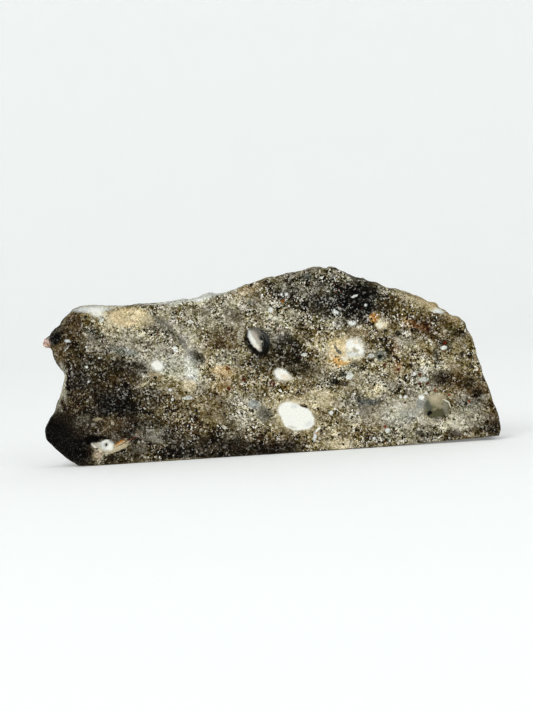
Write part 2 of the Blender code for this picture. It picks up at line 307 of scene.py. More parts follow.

# The fragments with clear edges, with painted shade on the chipped facet at the upper left and
# a scratch there with a painted glint
UPPER_LEFT_CLASTS_AND_CHIP_SHADE = (
    clast(-24.5, 18.6, 1.6, 1.1, 20, S.BROWN, 0.6, 0.5),
    # Painted shade: the chipped facet at the upper left is drawn black, and the pale line
    # across it is a scratch with a painted glint
    clast(-26.7, 16.6, 0.9, 1.2, -30, S.BLACK, 0.95, 0.35),
    streak(-27.9, 16.4, -24.8, 19.6, 0.7, S.BLACK),
    streak(-26.8, 17.1, -25.8, 17.9, 0.16, S.FROST),
    streak(-25.6, 14.7, -25.0, 15.3, 0.16, S.FROST),
    clast(-20.7, 18.4, 0.25, 0.35, 0, S.FROST),
    clast(-22.6, 18.9, 0.25, 0.2, 0, S.BLACK),
    clast(-17.2, 18.5, 2.4, 1.1, -3, S.APRICOT, 0.9, 0.25, 0.4),
    clast(-16.9, 18.7, 1.3, 0.5, 0, S.BEIGE, 0.45, 0.6, 0.6),
    clast(-15.0, 17.8, 1.0, 0.85, 0, S.SAND, 0.7, 0.4),
    clast(-21.6, 16.7, 1.4, 0.8, -25, S.MOUSE, 0.85, 0.4, 0.6),
    streak(-22.9, 17.5, -20.6, 16.3, 0.22, S.CHARCOAL),
    streak(-21.0, 18.0, -19.5, 15.5, 0.7, S.SAND, 0.7),
    clast(-18.0, 14.2, 1.8, 0.5, -15, S.BLUE_GREY, 0.6, 0.5),
    clast(-6.0, 9.2, 1.1, 0.85, -10, S.TAN, 0.7, 0.45, 0.7),
    clast(-5.7, 10.9, 1.3, 0.7, -10, S.HONEY, 0.35, 0.5, 0.8),
    streak(-26.2, 13.3, -26.3, 9.0, 0.5, S.PALE_GREY, 0.6),
    streak(-15.9, 11.0, -14.2, 10.7, 0.35, S.PALE_GREY, 0.6),
    clast(-16.6, 12.1, 1.3, 0.5, -8, S.PEAT, 0.75, 0.4, 0.6),
    clast(-12.5, 17.2, 1.1, 0.5, -45, S.GREY, 0.6, 0.4),
    streak(-14.6, 19.2, -12.6, 17.0, 0.7, S.MOUSE, 0.75),
    streak(-12.6, 17.2, -9.8, 13.6, 0.8, S.MOUSE, 0.85),
    clast(-26.0, 10.8, 0.34, 2.3, 3, S.PALE_GREY, 0.75, 0.4, 0.9),
    clast(-26.8, 8.3, 0.35, 1.1, 12, S.MOUSE, 0.7, 0.5, 0.9),
    streak(-25.55, 12.8, -25.6, 9.0, 0.3, S.BLACK, 0.7),
    clast(-9.0, 12.9, 1.25, 0.75, -40, S.CHARCOAL, 0.8, 0.35),
    clast(-9.7, 11.5, 1.0, 1.6, 20, S.FROST, 0.6, 0.4),
    clast(-11.6, 14.1, 0.3, 0.4, 0, S.FROST, 0.9),
    clast(-14.4, 10.9, 0.9, 0.5, -15, S.TAN, 0.5, 0.5),
    clast(-10.2, 9.4, 0.85, 0.75, 0, S.CREAM, 0.8),
    clast(-8.4, 20.2, 0.5, 0.25, 10, S.FROST, 0.9),
    clast(-9.5, 17.4, 0.35, 0.2, 0, S.ANORTHOSITE),
    clast(-10.5, 7.9, 0.6, 0.25, 0, S.FROST, 0.8),
    clast(-13.6, 14.6, 0.8, 0.5, -20, S.PALE_GREY, 0.7, 0.4),
)
LOWER_LEFT_CLASTS = (
    clast(-20.2, 8.0, 1.8, 0.8, -8, S.BLACK, 0.8, 0.45),
    clast(-17.6, 7.0, 1.2, 0.7, -12, S.BLACK, 0.7, 0.45),
    clast(-23.6, 11.4, 0.9, 0.6, 0, S.BLACK, 0.6, 0.5),
    clast(-22.0, 5.9, 0.6, 0.2, 0, S.SAND, 0.7, 0.4),
    clast(-20.2, 5.3, 0.22, 0.2, 0, S.SAND, 0.8),
    clast(-23.7, 6.2, 0.7, 0.5, 0, S.MOUSE, 0.6, 0.4),
    clast(-21.2, 2.2, 1.5, 0.7, 0, S.BEIGE, 0.6, 0.4),
    clast(-22.2, 1.2, 0.65, 0.8, 0, S.BEIGE, 0.6, 0.5, 0.9),
    clast(-24.3, 2.4, 0.7, 1.0, 0, S.BLACK, 0.7, 0.5),
    streak(-20.5, 2.0, -18.2, 2.9, 0.6, S.BEIGE),
    clast(-16.8, 3.8, 0.8, 0.3, -10, S.BROWN, 0.6, 0.5),
    clast(-15.2, 2.9, 1.0, 0.5, -20, S.GREY, 0.8, 0.4),
    clast(-17.0, 1.8, 1.0, 0.6, 0, S.MOUSE, 0.6, 0.5),
    clast(-13.0, 0.9, 1.3, 0.7, 0, S.UMBER, 0.7, 0.5),
    streak(-16.5, 0.15, -9.5, 0.15, 0.25, S.SAND, 0.7),
)
MIDDLE_CLASTS = (
    clast(-2.3, 20.9, 1.8, 0.5, 12, S.TAN, 0.35, 0.5),
    clast(-3.5, 17.8, 1.0, 0.8, 0, S.BROWN, 0.5, 0.5),
    clast(-1.8, 19.4, 0.5, 0.4, 0, S.SLATE, 0.6, 0.4),
    clast(-3.3, 15.3, 0.35, 1.0, -10, S.PALE_GREY, 0.7, 0.4),
    clast(-7.3, 6.0, 2.0, 1.7, 0, S.OLIVE, 0.7, 0.4),
    clast(-6.0, 8.9, 1.2, 0.9, 0, S.TAN, 0.5, 0.4, 0.6),
    clast(-6.2, 10.6, 1.4, 0.7, -15, S.TAN, 0.5, 0.5),
    clast(-1.0, 5.2, 0.9, 1.1, 15, S.MOUSE, 0.9, 0.3),
    clast(-2.2, 6.5, 0.7, 0.6, 0, S.BLUE_GREY, 0.8, 0.4),
    clast(3.1, 4.8, 2.85, 2.35, -30, S.BEIGE, 0.85, 0.3),
    clast(1.5, 9.8, 1.2, 0.95, -25, S.SAND, 0.6, 0.5),
    clast(-5.0, 1.2, 2.2, 0.9, 0, S.UMBER, 0.75, 0.5),
    clast(0.8, 0.9, 2.0, 0.8, 0, S.UMBER, 0.75, 0.5),
    clast(8.3, 0.75, 1.4, 0.7, 0, S.CREAM, 0.7, 0.35),
    clast(7.0, 6.8, 1.9, 1.1, -15, S.BEIGE, 0.6, 0.5),
    streak(-2.0, 11.9, 0.4, 11.2, 0.4, S.BLACK, 0.6),
    clast(4.5, 12.4, 0.3, 0.2, 0, S.FROST),
)
BLACK_CLASTS = (
    clast(7.0, 20.9, 1.5, 0.6, -10, S.GREY, 0.45, 0.5),
    clast(4.2, 20.4, 1.6, 0.6, -10, S.BLACK, 0.6, 0.5),
    clast(12.2, 19.4, 1.4, 1.2, 0, S.BLACK, 0.8, 0.5),
    clast(10.4, 17.2, 1.5, 0.6, -10, S.BLACK, 0.6, 0.5),
    clast(5.6, 22.2, 0.6, 0.4, 0, S.SLATE, 0.8),
    clast(11.3, 19.3, 0.45, 0.15, 20, S.FROST),
    clast(8.8, 17.5, 0.4, 0.25, 0, S.FROST, 0.9),
    clast(2.3, 19.3, 0.35, 0.15, 0, S.ORANGE, 0.8),
    clast(13.8, 17.1, 0.35, 0.2, 0, S.GREY),
)
CENTRE_RIGHT_CLASTS = (
    clast(9.2, 12.7, 1.7, 1.5, 0, S.APRICOT, 0.95, 0.35, 0.45),
    clast(11.1, 12.7, 1.2, 1.3, -30, S.FELDSPAR, 0.9, 0.35, 0.4),
    clast(9.0, 11.3, 1.4, 0.7, -5, S.APRICOT, 0.95, 0.35, 0.9),
    clast(8.7, 11.2, 0.8, 0.5, -20, S.HONEY, 0.7, 0.5, 0.9),
    clast(10.9, 14.9, 0.6, 0.4, 0, S.OLIVE, 0.8, 0.5),
    clast(14.5, 15.5, 0.9, 0.65, 0, S.CREAM, 0.9, 0.35, 0.9),
    clast(13.7, 16.5, 0.5, 0.65, -50, S.HONEY, 0.7, 0.5, 1.2),
    clast(14.4, 13.9, 0.9, 0.5, -20, S.BROWN, 0.6, 0.5, 1.0),
    clast(7.0, 12.6, 0.7, 1.2, 0, S.SAND, 0.8, 0.4, 0.8),
    clast(10.9, 16.0, 0.5, 0.32, 0, S.FROST, 0.9),
    clast(14.2, 11.6, 0.8, 0.7, 0, S.SLATE, 0.75, 0.35),
    clast(13.0, 11.7, 0.42, 0.32, 0, S.FROST, 0.9),
    clast(10.1, 9.3, 0.45, 0.55, 0, S.FROST, 0.9),
    clast(10.4, 8.3, 0.4, 0.25, 0, S.PALE_GREY, 0.8),
    clast(9.2, 9.5, 0.6, 0.38, 0, S.BLACK, 0.85, 0.4),
    clast(8.1, 8.7, 0.4, 0.3, 0, S.BLACK, 0.85, 0.4),
    clast(9.4, 8.4, 0.45, 0.3, 0, S.SOOT, 0.8, 0.4),
    clast(12.9, 7.3, 1.25, 0.95, 0, S.BEIGE, 0.85, 0.35, 0.7),
    clast(12.2, 5.8, 1.4, 0.42, -5, S.SLATE, 0.8, 0.35),
    clast(11.7, 4.8, 0.8, 0.72, 0, S.GREY, 0.8, 0.3),
)
RIGHT_CLASTS = (
    clast(18.1, 15.5, 1.1, 0.5, -25, S.ORANGE, 0.2, 0.5, 1.1),
    clast(19.9, 14.8, 1.2, 0.5, -20, S.RUST, 0.25, 0.5, 1.0),
    clast(16.3, 10.2, 0.5, 0.8, -20, S.ORANGE, 0.3, 0.6, 1.1),
    clast(16.0, 12.4, 0.5, 0.8, 0, S.ORANGE, 0.22, 0.6, 1.1),
    clast(18.6, 14.6, 0.5, 0.25, 0, S.BLACK, 0.8),
    clast(21.0, 17.7, 1.3, 0.5, -25, S.TAN, 0.6, 0.5),
    clast(23.5, 15.7, 1.0, 0.5, -30, S.TAN, 0.5, 0.5),
    clast(23.5, 14.0, 1.2, 0.55, -20, S.DARK_OLIVE, 0.8, 0.4),
    clast(22.3, 12.4, 0.9, 0.8, 0, S.SOOT, 0.75, 0.35),
    clast(22.35, 12.7, 0.28, 0.24, 0, S.RUST),
    clast(22.2, 12.1, 0.5, 0.22, 0, S.FROST),
    clast(21.2, 11.3, 0.4, 0.8, 0, S.SLATE, 0.7, 0.4),
    clast(21.4, 10.3, 0.5, 0.3, 0, S.SLATE, 0.7, 0.4),
    clast(16.5, 14.3, 0.4, 0.35, 0, S.SOOT, 0.8),
    clast(17.5, 13.2, 0.9, 0.5, 0, S.PALE_GREY, 0.5, 0.5),
    clast(21.7, 8.3, 1.3, 0.85, -10, S.UMBER, 0.8, 0.4),
    clast(25.2, 7.5, 0.9, 0.7, 0, S.DARK_OLIVE, 0.8, 0.4),
    clast(26.2, 5.9, 0.9, 0.6, -20, S.UMBER, 0.8, 0.4),
    clast(19.4, 8.2, 0.6, 0.32, 0, S.FROST, 0.9),
    clast(19.0, 6.0, 0.4, 0.35, 0, S.FROST, 0.9),
    clast(27.0, 5.5, 0.6, 0.4, 0, S.PALE_GREY, 0.6, 0.4),
    clast(22.9, 1.2, 1.0, 0.45, -20, S.SOOT, 0.7, 0.4),
    clast(18.6, 1.4, 0.8, 0.26, -40, S.SOOT, 0.75, 0.4),
    clast(13.9, 1.4, 0.8, 0.2, -50, S.SOOT, 0.7, 0.4),
    clast(17.0, 3.8, 1.8, 0.8, 0, S.BLUE_GREY, 0.4, 0.5),
)
# The weathered crust on the broken rim, with painted shade on the chipped facet at the upper
# left and at the lower left corner
RIM_ZONES = (
    zone(-26.4, 10.9, 1.6, 3.4, 0, S.PALE_GREY, 0.9, 0.7),
    zone(-27.0, 13.9, 1.6, 2.0, 0, S.UMBER, 0.92, 0.7),
    # Painted shade on the chipped facet at the upper left
    zone(-27.4, 17.6, 2.2, 1.8, 40, S.SOOT, 0.95, 0.5),
    zone(-28.2, 16.0, 0.7, 0.8, 0, S.ROSE, 1.0, 0.5),
    # Painted shade: the rim at the lower left corner is darkened where a shadow fell across it
    zone(-28.4, 4.2, 2.4, 4.4, 0, S.SOOT, 0.95, 0.3),
    zone(-9.0, 20.6, 5.5, 1.2, 0, S.FROST, 0.85, 0.5),
    zone(-20.0, 20.4, 3.6, 1.0, 0, S.FROST, 0.7, 0.5),
    zone(5.5, 23.0, 4.5, 1.2, 0, S.GREY, 0.8, 1.0),
    zone(12.0, 21.8, 2.6, 1.4, -30, S.CHARCOAL, 0.9, 1.0),
    zone(21.6, 17.8, 3.4, 1.5, -30, S.TAN, 0.8, 0.6),
    zone(28.4, 3.6, 1.8, 4.6, 0, S.BROWN, 0.9, 0.6),
)

# The back face's own fragments, which aren't visible in the front
BACK_CLASTS = tuple(replace(patch, y=BACK_Y) for patch in (
    clast(-18.5, 12.5, 1.8, 1.3, 25, S.BEIGE, 0.85, 0.3, 0.6),
    clast(-9.0, 6.0, 1.5, 1.0, -20, S.ANORTHOSITE, 0.95, 0.25),
    clast(-6.5, 15.0, 1.1, 0.8, 10, S.FELDSPAR, 0.9, 0.3),
    clast(-13.5, 8.2, 0.7, 0.5, 0, S.CHARCOAL, 0.8, 0.35),
    clast(-22.8, 6.2, 1.0, 0.7, 30, S.GREY, 0.8, 0.35),
    clast(1.2, 8.0, 1.6, 1.2, -35, S.MOSS, 0.85, 0.25),
    clast(6.0, 13.4, 2.0, 1.4, 15, S.APRICOT, 0.85, 0.35, 0.6),
    clast(4.8, 3.4, 0.8, 0.5, 0, S.ANORTHOSITE, 0.9, 0.35),
    clast(11.4, 8.6, 1.2, 0.8, -30, S.SLATE, 0.8, 0.3),
    clast(15.6, 13.8, 1.0, 0.8, 0, S.FROST, 0.85, 0.35),
    clast(18.8, 5.2, 1.7, 1.1, 20, S.CREAM, 0.85, 0.3),
    clast(23.4, 10.4, 0.8, 0.6, 0, S.CHARCOAL, 0.8, 0.35),
    clast(13.2, 2.6, 0.6, 0.4, 0, S.FROST, 0.9, 0.35),
    clast(-1.8, 2.4, 1.3, 0.6, 10, S.BLUE_GREY, 0.7, 0.4),
))

# The clearest fragments, painted over the mineral grains, with painted shadow along the top of
# the broken hollow
EYE = (
    clast(-1.2, 14.4, 1.95, 1.5, -60, S.BLACK, 0.92, 0.14),
    clast(-0.6, 14.9, 1.2, 0.85, -62, S.SLATE, 0.45, 0.4),
    clast(-0.55, 14.5, 0.95, 0.5, -65, S.BLACK, 0.7, 0.4),
    clast(-1.35, 15.55, 0.75, 0.5, -40, S.MOUSE, 0.85, 0.4),
    clast(-1.55, 15.3, 0.6, 0.35, -60, S.PINK_GREY, 0.7, 0.5),
    clast(-1.5, 14.7, 1.15, 0.46, -60, S.PALE_GREY, 0.9, 0.4, 0.3),
    clast(-1.85, 14.6, 0.85, 0.3, -62, S.ANORTHOSITE, 0.8, 0.5, 0.5),
    clast(-2.1, 15.35, 0.6, 0.16, -84, S.FROST, 0.8, 0.5),
    clast(-1.35, 13.8, 0.7, 0.26, -48, S.FELDSPAR, 0.9, 0.45, 0.5),
    clast(-1.35, 14.9, 0.5, 0.2, -62, S.PINK_GREY, 0.5, 0.6),
    clast(-0.7, 14.35, 0.14, 0.16, 0, S.PALE_GREY, 0.9, 0.4),
    clast(-0.95, 13.5, 0.14, 0.1, 0, S.RUST, 0.7, 0.4),
    streak(-1.0, 15.75, -0.3, 15.2, 0.1, S.GREY, 0.5),
    streak(-0.3, 15.2, -0.05, 14.4, 0.1, S.MOUSE, 0.6),
    streak(-0.65, 15.2, -0.4, 14.5, 0.08, S.MOUSE, 0.6),
    streak(-0.4, 14.5, -0.55, 13.7, 0.08, S.MOUSE, 0.6),
    streak(-0.2, 16.1, 0.9, 15.7, 0.12, S.FROST, 0.6),
)
BEAD = (
    clast(18.95, 5.3, 0.65, 0.65, 20, S.BLUE_GREY, 0.55, 0.5, 0.7),
    clast(18.6, 4.6, 0.5, 0.4, 0, S.BLUE_GREY, 0.35, 0.6, 0.8),
    clast(20.8, 4.45, 1.62, 1.35, 0, S.CHARCOAL, 0.6, 0.14),
    clast(20.9, 4.8, 1.5, 1.4, 0, S.MOSS, 1.0, 0.16, 0.3),
    clast(21.0, 3.95, 1.15, 0.6, 0, S.DARK_OLIVE, 0.55, 0.45),
    clast(19.85, 5.0, 0.35, 0.9, 8, S.SLATE, 0.6, 0.45),
    clast(20.9, 5.85, 1.0, 0.6, -5, S.BEIGE, 0.75, 0.6, 0.6),
    clast(20.6, 5.6, 0.6, 0.4, -10, S.BEIGE, 0.35, 0.6),
    clast(21.5, 5.6, 0.4, 0.3, 0, S.OLIVE, 0.5, 0.5),
    clast(20.8, 5.2, 0.7, 0.4, 0, S.SAND, 0.6, 0.5),
    clast(21.3, 4.7, 0.5, 0.25, -10, S.SAND, 0.6, 0.5),
    clast(20.6, 4.4, 0.3, 0.16, 20, S.SAND, 0.5, 0.5),
    clast(21.95, 4.6, 0.28, 0.8, 0, S.GREY, 0.6, 0.5),
    clast(19.95, 4.0, 0.32, 0.24, 0, S.BLACK, 0.95, 0.3),
    clast(19.7, 3.75, 0.16, 0.14, 0, S.BLACK, 0.95, 0.3),
    streak(21.7, 5.6, 22.45, 5.2, 0.16, S.FELDSPAR, 0.9),
    streak(22.45, 5.2, 22.6, 4.5, 0.16, S.FELDSPAR, 0.9),
    clast(19.05, 6.0, 0.32, 0.28, 0, S.ANORTHOSITE, 0.9, 0.4),
    clast(19.6, 6.5, 0.2, 0.16, 0, S.ANORTHOSITE, 0.7, 0.4),
)
WHITE_CLASTS_AND_HOLLOW_SHADOW = (
    clast(-14.0, 12.2, 0.75, 0.6, -30, S.ANORTHOSITE, 0.9, 0.4),
    clast(-21.8, 19.8, 2.3, 0.35, -2, S.FROST, 0.8, 0.5),
    clast(-21.2, 19.4, 0.9, 0.5, -20, S.ANORTHOSITE, 0.7, 0.6),
    clast(2.35, 5.4, 1.55, 1.12, -10, S.ANORTHOSITE, 1.0, 0.14),
    clast(3.75, 4.3, 1.65, 1.3, -30, S.ANORTHOSITE, 1.0, 0.12),
    clast(3.1, 3.95, 1.35, 1.1, -5, S.ANORTHOSITE, 1.0, 0.14),
    clast(2.1, 4.7, 0.95, 1.1, 20, S.ANORTHOSITE, 1.0, 0.14),
    clast(4.0, 4.95, 0.95, 0.8, -20, S.ANORTHOSITE, 1.0, 0.16),
    clast(2.25, 4.0, 0.85, 0.8, 0, S.ANORTHOSITE, 1.0, 0.16),
    clast(3.0, 6.45, 0.6, 0.25, -10, S.CREAM, 0.6, 0.5),
    clast(2.9, 5.95, 0.4, 0.3, 0, S.FROST, 0.8, 0.5),
    clast(2.5, 3.3, 0.5, 0.16, -20, S.PALE_GREY, 0.5, 0.5),
    clast(4.6, 3.6, 0.5, 0.3, 30, S.FROST, 0.7, 0.5),
    clast(4.1, 5.9, 0.5, 0.24, -20, S.BROWN, 0.95, 0.3),
    clast(4.35, 5.75, 0.2, 0.14, -20, S.BLACK, 0.9, 0.3),
    clast(1.45, 10.15, 0.85, 0.58, -25, S.ANORTHOSITE, 0.9, 0.35),
    clast(1.95, 9.8, 0.85, 0.52, -20, S.FELDSPAR, 0.95, 0.35),
    clast(1.85, 10.2, 0.55, 0.4, -30, S.ANORTHOSITE, 0.8, 0.45),
    clast(1.3, 9.75, 0.5, 0.4, 0, S.ANORTHOSITE, 0.8, 0.4),
    clast(1.9, 9.75, 0.5, 0.3, -20, S.CREAM, 0.6, 0.5),
    clast(10.5, 13.3, 0.55, 0.65, -20, S.ANORTHOSITE, 0.9, 0.45, 0.6),
    clast(11.5, 12.7, 0.9, 0.36, -58, S.ANORTHOSITE, 0.95, 0.4, 0.5),
    clast(10.6, 12.0, 0.75, 0.3, 0, S.FROST, 0.8, 0.5, 0.6),
    clast(11.1, 12.45, 0.4, 0.2, 0, S.SAND, 0.7, 0.4),
    clast(11.05, 13.5, 0.3, 0.16, -20, S.CREAM, 0.7, 0.4),
    clast(11.3, 11.8, 0.5, 0.2, 10, S.PALE_GREY, 0.5, 0.5),
    clast(10.8, 12.7, 0.2, 0.15, 0, S.SAND, 0.7, 0.4),
    clast(9.65, 11.55, 0.45, 0.26, -10, S.FELDSPAR, 0.85, 0.45, 0.6),
    streak(8.4, 13.4, 8.75, 12.7, 0.34, S.SLATE, 0.85),
    streak(8.65, 12.75, 9.3, 12.1, 0.4, S.SLATE, 0.9),
    streak(8.1, 11.9, 8.9, 11.0, 0.34, S.HONEY, 0.75),
    streak(8.8, 11.15, 10.1, 10.85, 0.34, S.HONEY, 0.75),
    streak(8.6, 10.7, 9.1, 10.3, 0.16, S.HONEY, 0.7),
    streak(13.4, 16.9, 13.9, 15.9, 0.3, S.ORANGE, 0.75),
    clast(14.35, 15.45, 0.42, 0.34, 0, S.FELDSPAR, 0.9, 0.4),
    clast(14.8, 15.5, 0.22, 0.22, 0, S.CREAM, 0.9, 0.4),
    clast(21.9, 16.8, 0.8, 0.32, -5, S.FROST, 0.9, 0.4),
    clast(-25.1, 16.0, 0.35, 0.2, -10, S.FROST, 0.8, 0.4),
    # Painted shadow: black along the upper edge of the broken hollow, where its rim shades it
    clast(-22.85, 3.42, 1.05, 0.48, -4, S.BLACK, 0.98, 0.2),
    clast(-23.3, 2.95, 0.4, 0.25, -20, S.BLACK, 0.98, 0.3),
    clast(-21.5, 3.5, 0.95, 0.2, -12, S.BLACK, 0.95, 0.3),
    clast(-21.3, 2.5, 1.05, 0.62, 8, S.FROST, 0.95, 0.25),
    clast(-22.4, 2.55, 0.65, 0.38, -10, S.PALE_GREY, 0.85, 0.4, 0.9),
    clast(-22.85, 2.75, 0.2, 0.15, 0, S.CHARCOAL, 0.9, 0.5),
    streak(-23.05, 2.85, -22.3, 2.1, 0.22, S.FELDSPAR, 0.9),
    clast(-22.0, 2.05, 0.5, 0.22, 0, S.BEIGE, 0.6, 0.5),
    clast(-20.75, 2.25, 0.42, 0.42, 0, S.ANORTHOSITE, 0.95, 0.35),
    clast(-21.2, 3.0, 0.45, 0.22, 10, S.ANORTHOSITE, 0.9, 0.4),
    clast(-21.2, 2.58, 0.3, 0.28, 0, S.GREY, 0.8, 0.4),
    clast(-21.2, 2.55, 0.18, 0.17, 0, S.BLACK, 1.0, 0.3),
    clast(-22.4, 2.15, 0.22, 0.15, 0, S.UMBER, 0.85, 0.4),
    clast(-22.3, 1.3, 0.4, 0.6, 10, S.ROSE, 0.25, 0.6),
    clast(-22.5, 0.9, 0.22, 0.13, 0, S.BROWN, 0.6, 0.4),
    clast(-20.9, 1.05, 0.65, 0.2, 0, S.UMBER, 0.85, 0.5),
    streak(-20.9, 1.5, -18.3, 2.5, 0.5, S.BEIGE, 0.85),
    streak(-20.1, 2.7, -18.9, 3.1, 0.4, S.BROWN, 0.7),
    streak(-20.0, 2.6, -18.7, 3.2, 0.16, S.ORANGE, 0.8),
    streak(-20.1, 2.35, -18.8, 3.0, 0.14, S.HONEY, 0.8),
    streak(-20.1, 2.15, -18.2, 3.0, 0.13, S.RUST, 0.8),
    streak(-18.5, 2.9, -16.8, 3.6, 0.2, S.RUST, 0.35),
    streak(-22.1, 3.95, -20.4, 5.0, 0.12, S.SAND, 0.6),
    streak(5.1, 1.3, 5.4, 2.5, 0.4, S.FROST, 0.9),
    streak(5.3, 2.5, 6.0, 3.05, 0.28, S.ANORTHOSITE, 0.95),
    streak(5.2, 2.25, 5.8, 2.4, 0.18, S.ORANGE, 0.8),
)
GRAINS = (
    *specks(S.FROST, (-22.8, 15.1, 0.14), (-21.3, 13.6, 0.12), (-22.9, 12.6, 0.17),
            (-22.8, 10.7, 0.14), (-12.6, 9.0, 0.2), (-12.4, 7.8, 0.18), (2.8, 20.1, 0.2),
            (2.2, 20.1, 0.16), (12.7, 18.1, 0.18), (18.3, 9.1, 0.2), (17.0, 6.2, 0.2),
            (16.4, 6.2, 0.16), (14.5, 2.1, 0.28), (12.7, 1.2, 0.2), (7.5, 4.8, 0.25),
            (10.8, 4.5, 0.18), (0.7, 18.3, 0.3), (9.0, 17.4, 0.22), (8.7, 17.8, 0.15)),
    *specks(S.BLACK, (-14.4, 10.7, 0.22), (-6.9, 0.4, 0.3), (8.8, 0.7, 0.15),
            (14.1, 11.5, 0.3), (15.0, 12.3, 0.25), (14.5, 10.35, 0.16)),
    *specks(S.UMBER, (24.4, 11.2, 0.3), (25.6, 9.5, 0.25), (26.4, 6.2, 0.3), (25.2, 8.6, 0.2),
            (17.9, 10.2, 0.25), (24.6, 4.9, 0.2), (22.9, 3.0, 0.16), (19.0, 2.1, 0.2),
            (15.0, 14.7, 0.25), (13.4, 13.4, 0.2), (25.9, 2.9, 0.16), (24.9, 7.2, 0.22),
            (5.9, 5.4, 0.16), (-12.6, 16.4, 0.2), (-21.4, 16.1, 0.22), (-25.0, 14.2, 0.22),
            (-3.3, 14.0, 0.18), (-11.0, 4.4, 0.2), (-8.9, 4.6, 0.22), (-6.0, 5.6, 0.18)),
    *specks(S.GARNET, (19.0, 8.9, 0.2), (18.9, 7.75, 0.2), (19.8, 7.7, 0.2),
            (14.6, 10.4, 0.2), (16.3, 9.7, 0.18), (16.9, 5.5, 0.18), (0.1, 9.1, 0.2),
            (0.5, 8.9, 0.18), (-3.3, 9.7, 0.25), (-5.2, 8.7, 0.22)),
    *specks(S.RUST, (14.2, 2.6, 0.22), (20.8, 6.85, 0.2), (22.5, 6.1, 0.18), (25.0, 5.1, 0.18),
            (-5.3, 11.3, 0.2)),
)


def linear(swatch: Swatch) -> tuple[float, float, float, float]:
    """Turns a swatch's sRGB hex into linear RGBA.

    Args:
        swatch: the named colour.

    Returns:
        The colour as four linear values.
    """
    channels = [int(swatch.value[i:i + 2], 16) / 255.0 for i in (0, 2, 4)]
    out = [c / 12.92 if c <= 0.04045 else ((c + 0.055) / 1.055) ** 2.4 for c in channels]
    return (out[0], out[1], out[2], 1.0)


def add_node(tree: bpy.types.NodeTree, kind: str, links: dict[Any, Any] | None = None,
             values: dict[Any, Any] | None = None, **settings: Any) -> bpy.types.Node:
    """Adds a node with its settings, socket values and links.

    Args:
        tree: the node tree.
        kind: the node's type, such as ShaderNodeMath.
        links: input socket name or index to the output socket that feeds it.
        values: input socket name or index to its constant.
        settings: the node's own properties.

    Returns:
        The new node.
    """
    node = tree.nodes.new(kind)
    for key, value in settings.items():
        setattr(node, key, value)
    for key, value in (values or {}).items():
        node.inputs[key].default_value = value
    for key, source in (links or {}).items():
        tree.links.new(source, node.inputs[key])
    return node


# Socket numbers of the Mix node, whose sockets share their names
MIX_FACTOR = 0
MIX_FLOAT_A, MIX_FLOAT_B, MIX_FLOAT_OUT = 2, 3, 0
MIX_COLOUR_A, MIX_COLOUR_B, MIX_COLOUR_OUT = 6, 7, 2


